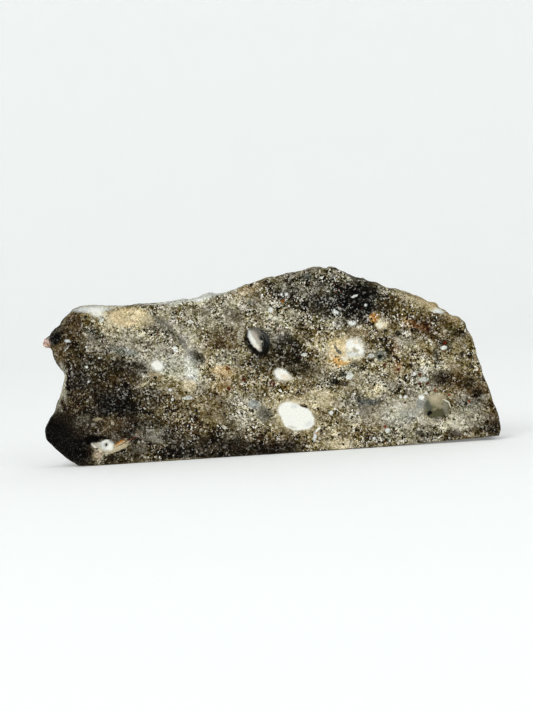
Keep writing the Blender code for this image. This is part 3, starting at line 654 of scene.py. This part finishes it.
@dataclass(frozen=True)
class BrecciaFinish:
    """Lunar feldspathic breccia, diamond-sawn and lightly polished, left broken on its rim.

    Pale anorthosite fragments of every size sit in a dark glassy matrix, so the eye sees
    sharp salt-and-pepper grains over soft clouds of olive, grey and brown. The real matrix
    has dust far finer than 0.1 mm, which doesn't show here: the finest grains are drawn at
    0.14 mm.
    """

    name: str = "sawn_lunar_breccia"
    ground: Swatch = S.OLIVE
    flow_angle: float = 20.0
    flow_stretch: float = 1.7
    patch_size: float = 1.6
    cloud_size: float = 1.5
    cloud_contrast: float = 1.0
    fragment_size: float = 0.9
    fragment_contrast: float = 0.22
    grain_size: float = 0.25
    grain_contrast: float = 0.32
    dust_size: float = 0.14
    dust_contrast: float = 0.40
    deepening: float = 0.035
    warmth: float = 0.06
    crust_share: float = 0.8
    sawn_roughness: float = 0.45
    broken_roughness: float = 0.82

    def material(self) -> bpy.types.Material:
        """Builds the material.

        Returns:
            The finished material.
        """
        material = bpy.data.materials.new(self.name)
        material.use_nodes = True
        tree = material.node_tree
        tree.nodes.clear()
        coordinates = add_node(tree, "ShaderNodeTexCoord")
        place = add_node(tree, "ShaderNodeVectorMath", {0: coordinates.outputs["Object"]},
                         {"Scale": 1.0 / MM}, operation="SCALE").outputs["Vector"]
        near = self._warped(tree, place, 0.35, 0.25)
        # The three come from the same one: the renderer then works through the layers in
        # their order, and doesn't run out of room by holding every patch at once
        close = self._warped(tree, near, 0.18, 0.16)
        middle = self._warped(tree, near, 0.7, 0.3)
        wide = self._warped(tree, near, 1.7, 1.7)

        colour = add_node(tree, "ShaderNodeRGB").outputs[0]
        colour.default_value = linear(self.ground)
        speckle = add_node(tree, "ShaderNodeValue").outputs[0]
        speckle.default_value = 1.0
        for name, patches in (
                ("left_zones", LEFT_ZONES), ("middle_zones", MIDDLE_ZONES),
                ("right_zones", RIGHT_ZONES), ("upper_left_clasts_and_chip_shade", UPPER_LEFT_CLASTS_AND_CHIP_SHADE),
                ("lower_left_clasts", LOWER_LEFT_CLASTS), ("middle_clasts", MIDDLE_CLASTS),
                ("black_clasts", BLACK_CLASTS), ("centre_right_clasts", CENTRE_RIGHT_CLASTS),
                ("right_clasts", RIGHT_CLASTS), ("back_clasts", BACK_CLASTS)):
            layer = add_node(tree, "ShaderNodeGroup",
                             node_tree=self._layer(name, patches))
            where = wide if name.endswith("zones") else middle
            for socket, source in enumerate((where, colour, speckle)):
                tree.links.new(source, layer.inputs[socket])
            colour, speckle = layer.outputs
        broken = add_node(tree, "ShaderNodeAttribute", attribute_name="broken").outputs["Fac"]
        crust = add_node(tree, "ShaderNodeGroup", {0: wide, 1: self._crust(tree, close)},
                         node_tree=self._layer("rim_zones", RIM_ZONES))
        share = add_node(tree, "ShaderNodeMath", {0: broken}, {1: self.crust_share},
                         operation="MULTIPLY")
        colour = add_node(tree, "ShaderNodeMix",
                          {MIX_FACTOR: share.outputs[0], MIX_COLOUR_A: colour,
                           MIX_COLOUR_B: crust.outputs[0]},
                          data_type="RGBA").outputs[MIX_COLOUR_OUT]
        colour, height = self._grained(tree, close, middle, colour, speckle)
        speckle = add_node(tree, "ShaderNodeValue").outputs[0]
        speckle.default_value = 1.0
        for name, patches in (("eye", EYE), ("bead", BEAD), ("white_clasts_and_hollow_shadow", WHITE_CLASTS_AND_HOLLOW_SHADOW),
                              ("grains", GRAINS)):
            layer = add_node(tree, "ShaderNodeGroup", {0: close, 1: colour, 2: speckle},
                             node_tree=self._layer(name, patches))
            colour, speckle = layer.outputs
        colour = self._dusted(tree, place, colour, speckle)

        rough = add_node(tree, "ShaderNodeMapRange", {"Value": broken},
                         {"To Min": self.sawn_roughness, "To Max": self.broken_roughness})
        bump = add_node(tree, "ShaderNodeBump", {"Height": height},
                        {"Strength": 0.25, "Distance": 0.05 * MM})
        shader = add_node(tree, "ShaderNodeBsdfPrincipled",
                          {"Base Color": colour, "Roughness": rough.outputs["Result"],
                           "Normal": bump.outputs["Normal"]},
                          {"Specular IOR Level": 0.03})
        add_node(tree, "ShaderNodeOutputMaterial", {"Surface": shader.outputs["BSDF"]})
        return material

    def _crust(self, tree: bpy.types.NodeTree,
               place: bpy.types.NodeSocket) -> bpy.types.NodeSocket:
        """The rim's weathered colour: tan crust mottled with darker brown."""
        waves = add_node(tree, "ShaderNodeTexNoise", {"Vector": place},
                         {"Scale": 1.0 / 0.9, "Detail": 3.0, "Roughness": 0.7})
        share = add_node(tree, "ShaderNodeMapRange", {"Value": waves.outputs["Fac"]},
                         {"From Min": 0.4, "From Max": 0.6},
                         interpolation_type="SMOOTHSTEP", clamp=False)
        return add_node(tree, "ShaderNodeMix", {MIX_FACTOR: share.outputs["Result"]},
                        {MIX_COLOUR_A: linear(S.BROWN), MIX_COLOUR_B: linear(S.SAND)},
                        data_type="RGBA").outputs[MIX_COLOUR_OUT]

    def _warped(self, tree: bpy.types.NodeTree, place: bpy.types.NodeSocket, size: float,
                reach: float) -> bpy.types.NodeSocket:
        """Pushes the point about by noise, so that patches get natural outlines."""
        wave = add_node(tree, "ShaderNodeTexNoise", {"Vector": place},
                        {"Scale": 1.0 / size, "Detail": 1.0})
        parts = add_node(tree, "ShaderNodeSeparateColor", {0: wave.outputs["Color"]})
        push = add_node(tree, "ShaderNodeCombineXYZ",
                        {axis: parts.outputs[axis] for axis in range(3)})
        pushed = add_node(tree, "ShaderNodeVectorMath", {0: push.outputs[0], 2: place},
                          {1: (reach, reach, reach)}, operation="MULTIPLY_ADD")
        half = -0.5 * reach
        return add_node(tree, "ShaderNodeVectorMath", {0: pushed.outputs["Vector"]},
                        {1: (half, half, half)}, operation="ADD").outputs["Vector"]

    def _layer(self, name: str, patches: tuple[Patch, ...]) -> bpy.types.NodeTree:
        """Makes a node group that lays patches over a colour and over the grains' strength.

        Args:
            name: the group's name.
            patches: what is laid on, in order.

        Returns:
            The group, from place, colour and speckle to colour and speckle.
        """
        group = bpy.data.node_groups.new(name, "ShaderNodeTree")
        for label, way, kind in (("Place", "INPUT", "NodeSocketVector"),
                                 ("Colour", "INPUT", "NodeSocketColor"),
                                 ("Speckle", "INPUT", "NodeSocketFloat"),
                                 ("Colour", "OUTPUT", "NodeSocketColor"),
                                 ("Speckle", "OUTPUT", "NodeSocketFloat")):
            group.interface.new_socket(name=label, in_out=way, socket_type=kind)
        place, colour, speckle = add_node(group, "NodeGroupInput").outputs[:3]
        for patch in patches:
            outer = 1.0 + patch.softness
            local = add_node(group, "ShaderNodeMapping", {"Vector": place}, {
                "Location": (patch.x, patch.y, patch.z),
                "Rotation": (0.0, -math.radians(patch.angle), 0.0),
                "Scale": (patch.half_length * outer, patch.depth * outer,
                          patch.half_height * outer),
            }, vector_type="TEXTURE")
            inwards = add_node(group, "ShaderNodeTexGradient",
                               {"Vector": local.outputs["Vector"]},
                               gradient_type="SPHERICAL")
            mask = add_node(group, "ShaderNodeMapRange", {"Value": inwards.outputs["Fac"]}, {
                "From Max": 2.0 * patch.softness / outer,
                "To Max": patch.strength,
            }, interpolation_type="SMOOTHSTEP", clamp=False).outputs["Result"]
            colour = add_node(group, "ShaderNodeMix",
                              {MIX_FACTOR: mask, MIX_COLOUR_A: colour},
                              {MIX_COLOUR_B: linear(patch.swatch)},
                              data_type="RGBA").outputs[MIX_COLOUR_OUT]
            speckle = add_node(group, "ShaderNodeMix",
                               {MIX_FACTOR: mask, MIX_FLOAT_A: speckle},
                               {MIX_FLOAT_B: patch.speckle},
                               data_type="FLOAT").outputs[MIX_FLOAT_OUT]
        add_node(group, "NodeGroupOutput", {0: colour, 1: speckle})
        return group

    def _grained(self, tree: bpy.types.NodeTree, place: bpy.types.NodeSocket,
                 loose: bpy.types.NodeSocket, colour: bpy.types.NodeSocket,
                 speckle: bpy.types.NodeSocket
                 ) -> tuple[bpy.types.NodeSocket, bpy.types.NodeSocket]:
        """Breaks the ground colour up into mineral grains, then strews white and black ones.

        Args:
            tree: the node tree.
            place: the point in millimetres, for the grains.
            loose: the point pushed about more, for the fragments.
            colour: the colour so far.
            speckle: how strongly the grains show.

        Returns:
            The new colour, and the grains' height for the bump.
        """
        waves = add_node(tree, "ShaderNodeTexNoise", {"Vector": loose},
                         {"Scale": 1.0 / self.patch_size, "Detail": 2.0})
        uneven = add_node(tree, "ShaderNodeMapRange", {"Value": waves.outputs["Fac"]},
                          {"From Min": 0.36, "From Max": 0.64, "To Min": 0.7,
                           "To Max": 1.3}, interpolation_type="SMOOTHSTEP", clamp=False)
        speckle = add_node(tree, "ShaderNodeMath",
                           {0: speckle, 1: uneven.outputs["Result"]},
                           operation="MULTIPLY").outputs[0]
        flow = add_node(tree, "ShaderNodeMapping", {"Vector": place}, {
            "Rotation": (0.0, math.radians(self.flow_angle), 0.0),
            "Scale": (self.flow_stretch, 1.0, 1.0)}, vector_type="TEXTURE")
        clouds = add_node(tree, "ShaderNodeTexNoise", {"Vector": flow.outputs["Vector"]},
                          {"Scale": 1.0 / self.cloud_size, "Detail": 4.0, "Roughness": 0.68})
        total = (self.cloud_contrast + self.fragment_contrast + self.grain_contrast
                 + self.dust_contrast)
        level = add_node(tree, "ShaderNodeMath", {0: clouds.outputs["Fac"]},
                         {1: 0.5 * self.cloud_contrast,
                          2: 0.5 - self.deepening - 0.25 * total},
                         operation="MULTIPLY_ADD").outputs[0]
        masks = []
        for where, size, contrast in (
                (loose, self.fragment_size, self.fragment_contrast),
                (place, self.grain_size, self.grain_contrast),
                (place, self.dust_size, self.dust_contrast)):
            cells = add_node(tree, "ShaderNodeTexVoronoi", {"Vector": where},
                             {"Scale": 1.0 / size})
            parts = add_node(tree, "ShaderNodeSeparateColor", {0: cells.outputs["Color"]})
            level = add_node(tree, "ShaderNodeMath", {0: parts.outputs[0], 2: level},
                             {1: 0.5 * contrast}, operation="MULTIPLY_ADD").outputs[0]
            masks.append(parts)
        blue = add_node(tree, "ShaderNodeMath", {0: masks[0].outputs[1], 2: level},
                        {1: -0.5 * self.warmth}, operation="MULTIPLY_ADD")
        tint = add_node(tree, "ShaderNodeCombineColor",
                        {0: level, 1: level, 2: blue.outputs[0]})
        seen = add_node(tree, "ShaderNodeGamma", {"Color": colour}, {"Gamma": 1.0 / 2.2})
        shaded = add_node(tree, "ShaderNodeMix",
                          {MIX_FACTOR: speckle, MIX_COLOUR_A: seen.outputs["Color"],
                           MIX_COLOUR_B: tint.outputs[0]},
                          data_type="RGBA", blend_type="LINEAR_LIGHT", clamp_factor=False,
                          clamp_result=True)
        colour = add_node(tree, "ShaderNodeGamma",
                          {"Color": shaded.outputs[MIX_COLOUR_OUT]},
                          {"Gamma": 2.2}).outputs["Color"]
        strewn = add_node(tree, "ShaderNodeMath", {0: speckle, 1: speckle},
                          operation="MULTIPLY").outputs[0]
        for parts, channel, swatch, start, end, most in (
                (masks[1], 0, S.FELDSPAR, 0.89, 0.97, 0.6),
                (masks[1], 0, S.UMBER, 0.15, 0.06, 0.75),
                (masks[2], 0, S.FELDSPAR, 0.90, 0.98, 0.6),
                (masks[2], 2, S.ANORTHOSITE, 0.965, 0.98, 0.8),
                (masks[2], 0, S.BLACK, 0.17, 0.07, 0.8),
                (masks[2], 1, S.RUST, 0.980, 0.990, 0.7)):
            pick = add_node(tree, "ShaderNodeMapRange", {"Value": parts.outputs[channel]},
                            {"From Min": start, "From Max": end, "To Max": most},
                            interpolation_type="SMOOTHSTEP", clamp=False)
            mask = add_node(tree, "ShaderNodeMath",
                            {0: pick.outputs["Result"], 1: strewn}, operation="MULTIPLY")
            colour = add_node(tree, "ShaderNodeMix",
                              {MIX_FACTOR: mask.outputs[0], MIX_COLOUR_A: colour},
                              {MIX_COLOUR_B: linear(swatch)},
                              data_type="RGBA").outputs[MIX_COLOUR_OUT]
        return colour, masks[2].outputs[0]

    def _dusted(self, tree: bpy.types.NodeTree, place: bpy.types.NodeSocket,
                colour: bpy.types.NodeSocket,
                speckle: bpy.types.NodeSocket) -> bpy.types.NodeSocket:
        """Adds fine mineral dust, even to the eye in light and dark areas."""
        dust = add_node(tree, "ShaderNodeTexNoise", {"Vector": place},
                        {"Scale": 1.0 / self.dust_size, "Detail": 1.0})
        level = add_node(tree, "ShaderNodeMapRange", {"Value": dust.outputs["Fac"]},
                         {"From Min": 0.25, "From Max": 0.75, "To Min": 0.44,
                          "To Max": 0.56}, clamp=False)
        grey = add_node(tree, "ShaderNodeCombineColor",
                        {channel: level.outputs["Result"] for channel in range(3)})
        seen = add_node(tree, "ShaderNodeGamma", {"Color": colour}, {"Gamma": 1.0 / 2.2})
        shaded = add_node(tree, "ShaderNodeMix",
                          {MIX_FACTOR: speckle, MIX_COLOUR_A: seen.outputs["Color"],
                           MIX_COLOUR_B: grey.outputs[0]},
                          data_type="RGBA", blend_type="LINEAR_LIGHT",
                          clamp_result=True)
        return add_node(tree, "ShaderNodeGamma", {"Color": shaded.outputs[MIX_COLOUR_OUT]},
                        {"Gamma": 2.2}).outputs["Color"]


@dataclass
class MeteoriteSlice:
    """The slice itself: two sawn faces, a sawn lower edge and a broken rim."""

    voxel: float = 0.19
    plane_reach: float = 0.09
    rim_fade: float = 0.45
    finish: BrecciaFinish = field(default_factory=BrecciaFinish)

    def build(self) -> bpy.types.Object:
        """Models and dresses the slice.

        Returns:
            The finished piece.
        """
        stone = self._copied()
        self._remeshed(stone)
        self._flattened(stone)
        self._weigh_rim(stone)
        self._roughened(stone)
        self._dressed(stone)
        return stone

    def _copied(self) -> bpy.types.Object:
        """A merged copy of the part's own solid."""
        bpy.ops.object.select_all(action="DESELECT")
        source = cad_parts[NODE]
        stone = source.copy()
        stone.data = source.data.copy()
        stone.parent = None
        for key in list(stone.keys()):
            del stone[key]
        stone.name = "sawn_breccia_slice"
        bpy.context.scene.collection.objects.link(stone)
        bpy.context.view_layer.objects.active = stone
        stone.select_set(True)
        bpy.ops.object.mode_set(mode="EDIT")
        bpy.ops.mesh.select_all(action="SELECT")
        bpy.ops.mesh.remove_doubles(threshold=0.001 * MM)
        bpy.ops.object.mode_set(mode="OBJECT")
        stone.data.materials.clear()
        return stone

    def _remeshed(self, stone: bpy.types.Object) -> None:
        """Gives the whole surface an even fine mesh."""
        remesh = stone.modifiers.new("fine_mesh", "REMESH")
        remesh.mode = "VOXEL"
        remesh.voxel_size = self.voxel * MM
        remesh.use_smooth_shade = True
        bpy.ops.object.modifier_apply(modifier=remesh.name)

    def _flattened(self, stone: bpy.types.Object) -> None:
        """Presses both sawn faces exactly flat."""
        for plane in (FRONT_Y, BACK_Y):
            near = [abs(vertex.co.y / MM - plane) < self.plane_reach
                    for vertex in stone.data.vertices]
            self._select_vertices(stone, near)
            bpy.ops.object.mode_set(mode="EDIT")
            bpy.ops.transform.resize(value=(1.0, 0.0, 1.0),
                                     center_override=(0.0, plane * MM, 0.0))
            bpy.ops.object.mode_set(mode="OBJECT")

    def _select_vertices(self, stone: bpy.types.Object, chosen: list[bool]) -> None:
        """Selects the chosen vertices and nothing else."""
        bpy.ops.object.mode_set(mode="EDIT")
        bpy.ops.mesh.select_mode(type="VERT")
        bpy.ops.mesh.select_all(action="DESELECT")
        bpy.ops.object.mode_set(mode="OBJECT")
        stone.data.vertices.foreach_set("select", chosen)

    def _base_height(self, x: float) -> float:
        """How high the sawn lower edge is at x, in millimetres."""
        rise = (x - BASE_KNEE_X) / (BASE_RIGHT_X - BASE_KNEE_X)
        return BASE_RIGHT_Z * min(1.0, max(0.0, rise))

    def _weigh_rim(self, stone: bpy.types.Object) -> None:
        """Marks how far each vertex is from the sawn faces: 0 on them, 1 on the rim."""
        group = stone.vertex_groups.new(name="broken_rim")
        shown = []
        for vertex in stone.data.vertices:
            x, y, z = vertex.co / MM
            margin = min(y - FRONT_Y, BACK_Y - y, z - self._base_height(x))
            in_hollow = math.hypot((x - HOLLOW_CENTRE[0]) / HOLLOW_RADII[0],
                                   (z - HOLLOW_CENTRE[1]) / HOLLOW_RADII[1]) < 1.0
            share = min(1.0, max(0.0, margin / self.rim_fade))
            if share > 0.0:
                group.add([vertex.index], share, "REPLACE")
            shown.append(0.0 if in_hollow else min(1.0, max(0.0, margin / 0.12)))
        mark = stone.data.attributes.new("broken", "FLOAT", "POINT")
        mark.data.foreach_set("value", shown)

    def _roughened(self, stone: bpy.types.Object) -> None:
        """Breaks up the rim with lumps and grains."""
        for name, kind, size, height, depth in (
                ("lumps", "CLOUDS", 1.9, 0.42, 3), ("grains", "CLOUDS", 0.55, 0.16, 2)):
            texture = bpy.data.textures.new(name, kind)
            texture.noise_scale = size * MM
            texture.noise_depth = depth
            displace = stone.modifiers.new(name, "DISPLACE")
            displace.texture = texture
            displace.strength = height * MM
            displace.mid_level = 0.5
            displace.vertex_group = "broken_rim"
            bpy.ops.object.modifier_apply(modifier=displace.name)

    def _dressed(self, stone: bpy.types.Object) -> None:
        """Gives the slice its finish and ties it to the part."""
        stone.data.materials.append(self.finish.material())
        bpy.ops.object.shade_smooth_by_angle(angle=math.radians(38.0))
        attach(stone, "root")
        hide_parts(NODE)


@dataclass
class Studio:
    """A pale seamless bowl, soft light and the camera."""

    floor_radius: float = 0.30
    wall_steps: int = 6
    wall_radius: float = 0.25
    lens: float = 85.0
    distance: float = 0.2118
    elevation: float = 3.0
    roll: float = 3.72
    aim: tuple[float, float, float] = (-0.19, -2.5, 12.57)

    def build(self) -> None:
        """Makes the stage, the light and the camera."""
        self._bowl()
        self._world()
        self._lights()
        self._camera()
        view = bpy.context.scene.view_settings
        view.view_transform = "Standard"
        view.look = "None"

    def _bowl(self) -> None:
        """A round floor that curves up into a wall."""
        bpy.ops.object.select_all(action="DESELECT")
        bpy.ops.mesh.primitive_circle_add(vertices=96, radius=self.floor_radius,
                                          fill_type="NGON")
        bowl = bpy.context.active_object
        bowl.name = "studio_bowl"
        bpy.ops.object.mode_set(mode="EDIT")
        bpy.ops.mesh.select_all(action="SELECT")
        turn = 0.5 * math.pi / self.wall_steps
        radius = self.floor_radius
        for step in range(1, self.wall_steps + 1):
            out = self.floor_radius + self.wall_radius * math.sin(step * turn)
            up = self.wall_radius * (math.cos((step - 1) * turn) - math.cos(step * turn))
            if step == 1:
                bpy.ops.mesh.select_all(action="DESELECT")
                bpy.ops.mesh.select_mode(type="EDGE")
                bpy.ops.mesh.select_non_manifold()
            bpy.ops.mesh.extrude_edges_move(TRANSFORM_OT_translate={"value": (0.0, 0.0, up)})
            bpy.ops.transform.resize(value=(out / radius, out / radius, 1.0),
                                     center_override=(0.0, 0.0, 0.0))
            radius = out
        bpy.ops.mesh.extrude_edges_move(TRANSFORM_OT_translate={"value": (0.0, 0.0, 0.35)})
        bpy.ops.mesh.select_all(action="SELECT")
        bpy.ops.mesh.normals_make_consistent(inside=True)
        bpy.ops.object.mode_set(mode="OBJECT")
        bpy.ops.object.shade_smooth()
        bowl.data.materials.append(self._paper())

    def _paper(self) -> bpy.types.Material:
        """Matt pale studio paper."""
        material = bpy.data.materials.new("studio_paper")
        material.use_nodes = True
        shader = material.node_tree.nodes["Principled BSDF"]
        shader.inputs["Base Color"].default_value = (0.87, 0.885, 0.88, 1.0)
        shader.inputs["Emission Color"].default_value = (0.92, 0.94, 0.935, 1.0)
        shader.inputs["Emission Strength"].default_value = 0.17
        shader.inputs["Roughness"].default_value = 0.95
        shader.inputs["Specular IOR Level"].default_value = 0.0
        return material

    def _world(self) -> None:
        """An even pale sky."""
        world = bpy.context.scene.world or bpy.data.worlds.new("studio_sky")
        bpy.context.scene.world = world
        world.use_nodes = True
        sky = world.node_tree.nodes["Background"]
        sky.inputs["Color"].default_value = (0.94, 0.94, 0.94, 1.0)
        sky.inputs["Strength"].default_value = 0.50

    def _lights(self) -> None:
        """A large soft light from the upper left in front, and a weaker one from the right."""
        for name, place, size, power in (("key", (-0.25, -0.35, 0.40), 0.30, 0.9),
                                         ("fill", (0.30, -0.30, 0.20), 0.30, 0.26)):
            light = bpy.data.lights.new(name, "AREA")
            light.size = size
            light.energy = power
            lamp = bpy.data.objects.new(name, light)
            lamp.location = place
            aim = Vector((0.0, 0.0, 0.012)) - Vector(place)
            lamp.rotation_euler = aim.to_track_quat("-Z", "Y").to_euler()
            bpy.context.scene.collection.objects.link(lamp)

    def _camera(self) -> None:
        """Looks at the front face a little from above, turned as the slice is held."""
        data = bpy.data.cameras.new("camera")
        data.lens = self.lens
        data.sensor_width = 36.0
        data.clip_start = 0.01
        camera = bpy.data.objects.new("camera", data)
        rise = math.radians(self.elevation)
        back = Vector((0.0, -math.cos(rise), math.sin(rise)))
        camera.location = Vector(self.aim) * MM + back * self.distance
        level = (-back).to_track_quat("-Z", "Y")
        camera.rotation_mode = "QUATERNION"
        camera.rotation_quaternion = level @ Euler(
            (0.0, 0.0, -math.radians(self.roll))).to_quaternion()
        bpy.context.scene.collection.objects.link(camera)
        bpy.context.scene.camera = camera


def main() -> None:
    """Builds the slice and the studio, and logs the slice's triangle count."""
    logging.basicConfig(level=logging.INFO, format="%(name)s: %(message)s")
    stone = MeteoriteSlice().build()
    stone.data.calc_loop_triangles()
    LOG.info("%s: %d triangles", stone.name, len(stone.data.loop_triangles))
    Studio().build()
    LOG.info("studio: bowl, sky, two lights and the camera")


if __name__ == "__main__":
    main()
